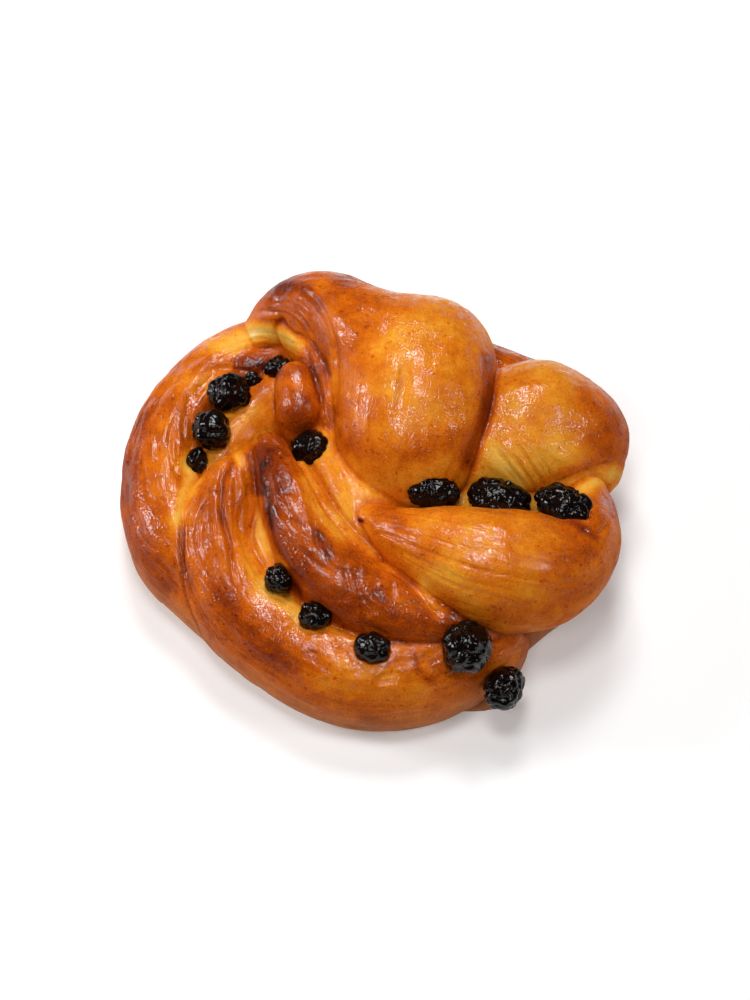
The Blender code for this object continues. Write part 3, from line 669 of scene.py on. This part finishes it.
strokeShape = {
    "reach": 2.5,  # a stroke is felt this many half widths away
    "fanSteps": 60,  # points along each line of a fan
    "fanLines": 24,  # lines of the net that its pattern is laid on
    "fanReach": 8,  # how far round a fan points are looked for, pixels
    "fanNearest": 6,  # how many points of the net a place takes its pattern from
    "fanSpan": 2,  # their weight falls away over this many pixels
    "fanFade": (2.5, 6, 7),  # pixels off the net where the pattern starts to fade, is gone, isn't laid
}


def strokeWeight(line, halfWidth, fadeEnds):
    # the points near a line, and for each 1 on the line, falling away across it
    reach = strokeShape["reach"] * halfWidth
    near = (inPicture > line.min(0) - reach) & (inPicture < line.max(0) + reach)
    close = np.flatnonzero(near.all(1) & (seen > 0))
    gap = np.full(len(close), 1e9)
    along = np.zeros(len(close))
    for step, point in enumerate(line):
        distance = np.linalg.norm(inPicture[close] - point, axis=1)
        nearer = distance < gap
        gap[nearer] = distance[nearer]
        along[nearer] = step / (len(line) - 1)
    weight = np.exp(-(gap / halfWidth) ** 2) * seen[close]
    if fadeEnds:
        weight *= np.sqrt(np.sin(math.pi * np.clip(along, 0.01, 0.99)))
    return close, weight


def strokeLine(points, count=0):
    # a curve through the points, where a count is given with so many even steps
    line = smoothPath([(x, y, 0) for x, y in points])[0][:, :2]
    if count:
        line = atPlaces(np.linspace(0, len(line) - 1, count), np.arange(len(line)), line)
    return line


def layFan(first, last, strength, pattern):
    # over a fan the pattern runs along the fan's lines instead of along the strand
    shares = np.linspace(0, 1, strokeShape["fanLines"])
    net = (first[:, None] + (last - first)[:, None] * shares[None, :, None]).reshape(-1, 2)
    steps = np.linalg.norm(np.diff((first + last) / 2, axis=0), axis=1)
    along = np.concatenate([[0], np.cumsum(steps)]) * pixel
    across = np.linalg.norm(last - first, axis=1).mean() * pixel * shares
    places = np.stack([np.repeat(along, len(across)), np.tile(across, len(along))], 1)
    tree = KDTree(len(net))
    for index, (x, y) in enumerate(net):
        tree.insert((x, y, 0), index)
    tree.balance()
    reach = strokeShape["fanReach"]
    fadeStart, fadeEnd, farthest = strokeShape["fanFade"]
    near = (inPicture > net.min(0) - reach) & (inPicture < net.max(0) + reach)
    for index in np.flatnonzero(near.all(1) & (seen > 0.5)):
        found = tree.find_n((*inPicture[index], 0), strokeShape["fanNearest"])
        if found[0][2] > farthest:
            continue
        weights = np.exp([-(gap / strokeShape["fanSpan"]) ** 2 for _, _, gap in found]) + 1e-9
        grain[index, :2] = weights @ places[[k for _, k, _ in found]] / weights.sum()
        grain[index, 2] = pattern
        stretched[index] = strength * (1 - smoothStep(found[0][2], fadeStart, fadeEnd))


pixel = float(np.median(away[seen > 0.5])) / focal    # mm that a pixel spans on the bun
strokeLift = np.zeros(len(skin))
for depth, halfWidth, points in pressedStrokes:
    close, weight = strokeWeight(strokeLine(points), halfWidth, True)
    strokeLift[close] -= depth * weight
stretched = np.zeros(len(skin))
for depth, halfWidth, count, fineLines, first, last in pressedFans:
    first, last = strokeLine(first, strokeShape["fanSteps"]), strokeLine(last, strokeShape["fanSteps"])
    layFan(first, last, fineLines, strandShape["patternGap"] * (len(knot) + count + first[0, 0]))
    for number in range(count):
        # each line is a little off its even place, length and depth
        share = (number + 0.5 + 0.3 * math.sin(5 * number)) / count
        shorter = int(8 * (1 + math.sin(3 * number + 1)))
        line = (first + (last - first) * share)[shorter // 2:len(first) - shorter]
        close, weight = strokeWeight(line, halfWidth, True)
        strokeLift[close] -= depth * (0.8 + 0.3 * math.sin(7 * number)) * weight
for change, halfWidth, points in bakeAndPaintedLightStrokes:
    close, weight = strokeWeight(strokeLine(points), halfWidth, False)
    bake[close] += change * weight
print("strokes laid on")

# relief: lumps and dimples all over, pleats and crinkles that follow the strands
normals = readPoints(dough, "normal")
spots = skin / mm
lift = sum(height * waves(spots, size, shift=3.7) for size, height in doughShape["lumps"])
dentPlaces = grain / np.array([*doughShape["dentSize"], 1])
lift -= dents * smoothStep(waves(dentPlaces, 1, shift=21), *doughShape["dentEdge"])
breakSize, breakShare = doughShape["pleatBreaks"]
for long, wide, share in doughShape["pleatSizes"]:
    ridges = creases(grain / np.array([long, wide, 1]), 1, doughShape["pleatWidth"], shift=wide)
    lift -= share * pleats * ridges * (breakShare + breakShare * waves(spots, breakSize, shift=11 + wide))
lift += crinkle * waves(grain / np.array([*doughShape["crinkleSize"], 1]), 1, shift=5.1)
lift += strokeLift - doughShape["groove"] * groove
raised = skin + normals * (lift * smoothStep(skin[:, 2] / mm, 0, doughShape["reliefStart"]) * mm)[:, None]
raised[:, 2] = np.maximum(raised[:, 2], 0)
writePoints(dough, raised)
print("relief raised")

# how open each point is to the oven, from 0, deep in a fold, to 1
skinTree = surfaceTree(raised, readFaces(dough))
oven = {
    "rays": 14,
    "reach": 22.0,  # mm
    "grazing": 0.35,  # weight of a ray along the skin; one straight out of it weighs 1 more
}
heights = (np.arange(oven["rays"]) + 0.5) / oven["rays"]
turns = math.pi * (3 - math.sqrt(5)) * np.arange(oven["rays"])    # by the golden angle
outward = np.sqrt(1 - heights**2)
rays = np.stack([outward * np.cos(turns), outward * np.sin(turns), heights], 1)
normals = readPoints(dough, "normal")
openness = np.zeros(len(raised))
for index, (point, normal) in enumerate(zip(raised, normals)):
    start = Vector(point + normal * doughShape["rayStart"] * mm)
    free = total = 0
    for ray in rays:
        weight = float(ray @ normal) + oven["grazing"]
        if weight > 0:
            total += weight
            if skinTree.ray_cast(start, ray, oven["reach"] * mm)[0] is None:
                free += weight
    openness[index] = free / total if total else 0    # none where the skin faces down
print("openness measured")

# the egg wash was brushed on from above, so it thins out down the steep sides, and it isn't in
# the folds, nor on the pale crumb
washed = spread(smoothStep(normals[:, 2], *doughShape["washSlopes"]), "washed")
washed *= smoothStep(raised[:, 2] / mm, *doughShape["washHeights"])
washed *= smoothStep(openness, *doughShape["washOpenness"]) * smoothStep(bake, *doughShape["washBake"])
# the bake written out carries painted shade in the creases between strands
for name, values in {"grain": grain, "bake": bake + doughShape["creaseShade"] * groove,
                     "openness": openness, "pleatHeight": pleats, "insideStrand": 1 - borders,
                     "washed": washed, "stretched": spread(stretched, "stretched")}.items():
    writeAttribute(dough, name, values)
triangles = 2 * len(dough.data.polygons)
if triangles > doughShape["triangles"]:
    applyModifier(dough, "DECIMATE", ratio=doughShape["triangles"] / triangles)
dough.data.shade_smooth()
print("dough done:", len(dough.data.polygons), "faces")
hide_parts("dough")
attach(dough, "root")

# The raisins: each one's own solid, plumped and wrinkled.
raisinShape = {
    "levels": 2,
    "bigLevels": 3,  # for those that are wider than bigWidth
    "bigWidth": 9.5,
    "folds": ((4.4, 0.26, 0.60), (2.0, 0.30, 0.26)),  # spacing, width and depth, mm
    "sharpness": 0.8,  # below 1 a fold is wider at its foot
    "warp": (4.0, 0.6),  # spacing and amount of what bends the folds, mm
    "patternGap": 17,  # keeps each raisin's folds its own
    "plump": 0.5,  # how far the skin stands out between its folds, mm
    "plumper": {1: 0.8, 2: 0.9, 3: 0.8, 7: 0.9, 8: 0.9},  # the same, for raisins by number
}
raisins = []
for number, node in enumerate(raisinNodes, 1):
    raisin = copyNode(node, f"wrinkledRaisin{number:02d}")
    low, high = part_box(node)
    wide = max(high - low) / mm > raisinShape["bigWidth"]
    levels = raisinShape["bigLevels" if wide else "levels"]
    applyModifier(raisin, "SUBSURF", levels=levels, render_levels=levels)
    points = readPoints(raisin)
    normals = readPoints(raisin, "normal")
    spots = points / mm + number * raisinShape["patternGap"]
    warpSize, warpAmount = raisinShape["warp"]
    warp = np.stack([waves(spots, warpSize, shift=31 * axis) for axis in (1, 2, 3)], 1) * warpAmount
    sunk = sum(depth * creases(spots + warp * 2, size, width) ** raisinShape["sharpness"]
               for size, width, depth in raisinShape["folds"])
    plump = raisinShape["plumper"].get(number, raisinShape["plump"])
    writePoints(raisin, points + normals * ((plump - sunk) * mm)[:, None])
    raisin.data.shade_smooth()
    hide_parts(node)
    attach(raisin, "root")
    raisins.append(raisin)
print("raisins done:", len(raisins))


# materials

def linear(hexColour):
    # an sRGB hex colour as the linear values that a shader takes
    channels = [int(hexColour[k:k + 2], 16) / 255 for k in (1, 3, 5)]
    return [c / 12.92 if c <= 0.04045 else ((c + 0.055) / 1.055) ** 2.4 for c in channels] + [1]


def addNode(tree, kind, settings=(), links=()):
    # settings name a node's own properties or its inputs; a link to an input is a node, for its
    # first output, or a node and the output's name
    node = tree.nodes.new("ShaderNode" + kind)
    for name, value in dict(settings).items():
        if isinstance(name, str) and hasattr(node, name):
            setattr(node, name, value)
        else:
            node.inputs[name].default_value = value
    for name, source in dict(links).items():
        source, output = source if isinstance(source, tuple) else (source, 0)
        tree.links.new(source.outputs[output], node.inputs[name])
    return node


def fromTo(low, high, least, most):
    # settings that turn low to high into least to most
    return {"From Min": low, "From Max": high, "To Min": least, "To Max": most}


def newMaterial(name):
    material = bpy.data.materials.new(name)
    material.use_nodes = True
    material.node_tree.nodes.clear()
    return material, material.node_tree


# Enriched dough under a baked egg wash: a translucent golden crumb that goes from cream
# in the folds to chestnut on the ridges, under a thin, crackled, glossy film. Low on the
# sides, where no wash reached, it is duller, and its pinker tone there is partly a painted
# reflection of the pale floor.
crust = {
    "stops": ((0.00, "#f3d79a"), (0.18, "#ecb750"), (0.34, "#e99a2a"),  # bake and colour there
              (0.48, "#da7410"), (0.60, "#c15705"), (0.72, "#9a3c04"),
              (0.83, "#782804"), (0.92, "#4a150a"), (1.00, "#280d08")),
    # patterns that follow the strands: size along and across a strand, mm
    "strandSizes": {"streaks": (16.0, 0.9), "crackle": (1.9, 0.9), "stretch": (9.0, 1.1)},
    # patterns that don't: size in mm, detail and roughness
    "patterns": {"mottle": (8.0, 3, 0.5), "patches": (2.6, 4, 0.65), "pores": (0.45, 2, 0.6),
                 "flecks": (1.1, 1, 0.4), "film": (0.4, 2, 0.5)},
    # how each changes the bake: two values of the pattern, and the change at each
    "bakeShifts": {"streaks": (0.35, 0.65, -1, 1), "mottle": (0.3, 0.7, -0.07, 0.07),
                   "patches": (0.3, 0.7, -0.045, 0.045), "pores": (0.35, 0.65, -0.045, 0.045),
                   "flecks": (0.66, 0.74, 0, 0.12), "openness": (0.10, 0.70, -0.12, 0.02)},
    "streakWeight": 0.2,  # the streaks' change for each mm that the pleats stand high
    "netSize": 0.9,  # the crackle's cells, mm
    "netEdge": 0.25,  # share of a cell that slopes down to its edge
    "netWarp": 2.0,  # how far the patches push the cells about, mm
    "bumpHeights": {"stretch": 0.2, "crackle": 0.02, "net": 0.03, "film": 0.01},  # mm
    # what the patches make of these: two values of the pattern, and the result at each
    "roughness": (0.3, 0.7, 0.42, 0.58),
    "glaze": (0.42, 0.56, 0.1, 1),
    "coatRoughness": 0.04,
    "coatIor": 1.55,  # dried egg
    "scatter": (1.2, (1.0, 0.4, 0.15), 0.1),  # light in the crumb: reach in mm, by colour, weight
    # low on the sides: dull unwashed crust, with a painted reflection of the pale floor in its pinker tone
    "dullAndSheenColour": "#a8744a",
    "dullAndSheenHeights": (2, 17),  # the dull, pinker tone in full below the first height, none above the second, mm
    "dullAndSheenMost": 0.9,
    "dullAndSheenPatches": (0.35, 0.6, 0.6, 1),
}
eggWashedCrust, tree = newMaterial("eggWashedCrust")
levels = {name: (addNode(tree, "Attribute", {"attribute_name": name}), "Fac")
          for name in ("bake", "openness", "pleatHeight", "insideStrand", "stretched", "washed")}
grainPlace = (addNode(tree, "Attribute", {"attribute_name": "grain"}), "Vector")
place = (addNode(tree, "TexCoord"), "Object")
strandCoords = {name: addNode(tree, "Mapping", {"Scale": (1 / long, 1 / wide, 1)}, {"Vector": grainPlace})
                for name, (long, wide) in crust["strandSizes"].items()}
patterns = {name: addNode(tree, "TexNoise",
                          {"Scale": 1 / (size * mm), "Detail": detail, "Roughness": roughness},
                          {"Vector": place})
            for name, (size, detail, roughness) in crust["patterns"].items()}
patterns["streaks"] = addNode(tree, "TexNoise", {"Scale": 1, "Detail": 3, "Roughness": 0.6},
                              {"Vector": strandCoords["streaks"]})
patterns["openness"] = levels["openness"]
patches = patterns["patches"]

# the bake of each spot, which in places also holds painted shade and painted highlights, and its colour
level = levels["bake"]
for name, shift in crust["bakeShifts"].items():
    shift = addNode(tree, "MapRange", fromTo(*shift), {"Value": patterns[name]})
    if name == "streaks":
        weight = addNode(tree, "Math", {"operation": "MULTIPLY", 1: crust["streakWeight"]},
                         {0: levels["pleatHeight"]})
        shift = addNode(tree, "Math", {"operation": "MULTIPLY"}, {0: shift, 1: weight})
    level = addNode(tree, "Math", {"operation": "ADD"}, {0: level, 1: shift})
colour = addNode(tree, "ValToRGB", {}, {"Fac": level})
while len(colour.color_ramp.elements) < len(crust["stops"]):
    colour.color_ramp.elements.new(0.5)
# all stops are placed before any is coloured, because the row is sorted anew by each placing
for element, (position, shade) in zip(colour.color_ramp.elements, crust["stops"]):
    element.position = position
for element, (position, shade) in zip(colour.color_ramp.elements, crust["stops"]):
    element.color = linear(shade)

# duller and pinker low down, in patches: unwashed crust, and a painted reflection of the pale floor
placeParts = addNode(tree, "SeparateXYZ", {}, {"Vector": place})
low, high = crust["dullAndSheenHeights"]
dullAndSheenLevel = addNode(tree, "MapRange", fromTo(low * mm, high * mm, crust["dullAndSheenMost"], 0),
                   {"Value": (placeParts, "Z")})
dullAndSheenPatches = addNode(tree, "MapRange", fromTo(*crust["dullAndSheenPatches"]), {"Value": patches})
dullAndSheen = addNode(tree, "Math", {"operation": "MULTIPLY"}, {0: dullAndSheenLevel, 1: dullAndSheenPatches})
dullAndSheenCrust = addNode(tree, "Mix", {"data_type": "RGBA"}, {"Factor": dullAndSheen})
# a Mix node has a pair of inputs for each kind of value; these are the ones for colours
fromSocket, toSocket = [socket for socket in dullAndSheenCrust.inputs if socket.type == "RGBA"]
tree.links.new(colour.outputs[0], fromSocket)
toSocket.default_value = linear(crust["dullAndSheenColour"])
crustColour = next(socket for socket in dullAndSheenCrust.outputs if socket.type == "RGBA")

# the relief of the film: lines where the dough was stretched, fine crackle and its net, and grain
stretchLines = addNode(tree, "TexNoise",
                       {"noise_type": "RIDGED_MULTIFRACTAL", "Scale": 1, "Detail": 1, "Roughness": 0.5,
                        "Distortion": 0.4}, {"Vector": strandCoords["stretch"]})
crackle = addNode(tree, "TexNoise",
                  {"noise_type": "RIDGED_MULTIFRACTAL", "Scale": 1, "Detail": 3, "Roughness": 0.6},
                  {"Vector": strandCoords["crackle"]})
netCoords = addNode(tree, "VectorMath", {"operation": "MULTIPLY_ADD", 1: [crust["netWarp"] * mm] * 3},
                    {0: (patches, "Color"), 2: place})
net = addNode(tree, "TexVoronoi", {"feature": "DISTANCE_TO_EDGE", "Scale": 1 / (crust["netSize"] * mm)},
              {"Vector": netCoords})
bumpSources = {
    "stretch": addNode(tree, "Math", {"operation": "MULTIPLY"},
                       {0: stretchLines, 1: levels["stretched"]}),
    "crackle": addNode(tree, "Math", {"operation": "MULTIPLY"},
                       {0: crackle, 1: levels["insideStrand"]}),
    "net": addNode(tree, "MapRange", fromTo(0, crust["netEdge"], 0, 1), {"Value": net}),
    "film": patterns["film"],
}
below = {}
for name, source in bumpSources.items():
    bump = addNode(tree, "Bump", {"Strength": 1, "Distance": crust["bumpHeights"][name] * mm},
                   {"Height": source, **below})
    below = {"Normal": bump}

roughness = addNode(tree, "MapRange", fromTo(*crust["roughness"]), {"Value": patches})
glaze = addNode(tree, "MapRange", fromTo(*crust["glaze"]), {"Value": patches})
gloss = addNode(tree, "Math", {"operation": "MULTIPLY"}, {0: glaze, 1: levels["washed"]})
scatterReach, scatterColour, scatterWeight = crust["scatter"]
shader = addNode(tree, "BsdfPrincipled",
                 {"IOR": 1.45, "Specular IOR Level": 0.05, "Subsurface Weight": scatterWeight,
                  "Subsurface Radius": scatterColour, "Subsurface Scale": scatterReach * mm,
                  "Coat Roughness": crust["coatRoughness"], "Coat IOR": crust["coatIor"]},
                 {"Roughness": roughness, "Coat Weight": gloss, "Normal": bump, "Coat Normal": bump})
tree.links.new(crustColour, shader.inputs["Base Color"])
addNode(tree, "OutputMaterial", {}, {"Surface": shader})
dough.data.materials.clear()
dough.data.materials.append(eggWashedCrust)

# Raisin skin, dried and baked: nearly black, with a waxy gloss on the tops of its wrinkles.
raisinSkin = {
    "stops": ((0.35, "#060404"), (0.75, "#150a07")),
    "blotchSize": 2.5,  # these three in mm
    "gritSize": 0.7,
    "gritHeight": 0.1,
    "roughness": 0.13,
}
bakedRaisinSkin, tree = newMaterial("bakedRaisinSkin")
place = (addNode(tree, "TexCoord"), "Object")
blotch, grit = [addNode(tree, "TexNoise", {"Scale": 1 / (raisinSkin[size] * mm), "Detail": 3},
                        {"Vector": place}) for size in ("blotchSize", "gritSize")]
colour = addNode(tree, "ValToRGB", {}, {"Fac": blotch})
for element, (position, shade) in zip(colour.color_ramp.elements, raisinSkin["stops"]):
    element.position = position
    element.color = linear(shade)
bump = addNode(tree, "Bump", {"Strength": 0.5, "Distance": raisinSkin["gritHeight"] * mm},
               {"Height": grit})
shader = addNode(tree, "BsdfPrincipled",
                 {"IOR": 1.45, "Roughness": raisinSkin["roughness"], "Specular IOR Level": 0.3},
                 {"Base Color": colour, "Normal": bump})
addNode(tree, "OutputMaterial", {}, {"Surface": shader})
for raisin in raisins:
    raisin.data.materials.append(bakedRaisinSkin)
print("materials made")

# floor, light and camera
studio = {
    "floorSize": 8,  # m
    "floorColour": "#f4f4f4",
    "floorRoughness": 0.8,
    "floorGlow": 0.2,  # lifts the floor towards the photograph's white
    "worldColour": "#ffffff",
    "worldStrength": 0.03,
    # name: place in mm, width and depth in mm, power in watts
    "lamps": {
        "overheadSoftbox": ((-30, -40, 560), (140, 130), 0.95),
        "frontSoftbox": ((-90, -280, 530), (110, 100), 0.4),
        "leftSoftbox": ((-490, 60, 240), (140, 140), 1.25),
        "rightSoftbox": ((420, -120, 440), (110, 110), 0.5),
        "backSoftbox": ((-10, 270, 510), (180, 150), 1.45),
    },
}
bpy.ops.mesh.primitive_plane_add(size=studio["floorSize"], location=(0, 0, 0))
floor = bpy.context.object
floor.name = "paleFloor"
paleTable, tree = newMaterial("paleTable")
shader = addNode(tree, "BsdfPrincipled",
                 {"Base Color": linear(studio["floorColour"]), "Roughness": studio["floorRoughness"],
                  "Emission Color": (1, 1, 1, 1), "Emission Strength": studio["floorGlow"]})
addNode(tree, "OutputMaterial", {}, {"Surface": shader})
floor.data.materials.append(paleTable)

world = bpy.data.worlds.new("softStudio")
world.use_nodes = True
background = world.node_tree.nodes["Background"]
background.inputs["Color"].default_value = linear(studio["worldColour"])
background.inputs["Strength"].default_value = studio["worldStrength"]
bpy.context.scene.world = world
for name, (spot, (wide, deep), power) in studio["lamps"].items():
    bpy.ops.object.light_add(type="AREA", location=np.array(spot) * mm)
    lamp = bpy.context.object
    lamp.name = name
    lamp.data.shape = "RECTANGLE"
    lamp.data.size = wide * mm
    lamp.data.size_y = deep * mm
    lamp.data.energy = power
    lamp.rotation_euler = (-Vector(spot)).to_track_quat("-Z", "Y").to_euler()

bpy.ops.object.camera_add(location=np.array(view["place"]) * mm,
                          rotation=(math.radians(view["tilt"]), 0, 0))
camera = bpy.context.object
camera.name = "photoCamera"
camera.data.lens = view["lens"]
camera.data.sensor_width = view["sensor"]
camera.data.clip_start = view["clipStart"] * mm
bpy.context.scene.camera = camera
bpy.context.scene.view_settings.view_transform = "Standard"
print("studio set")
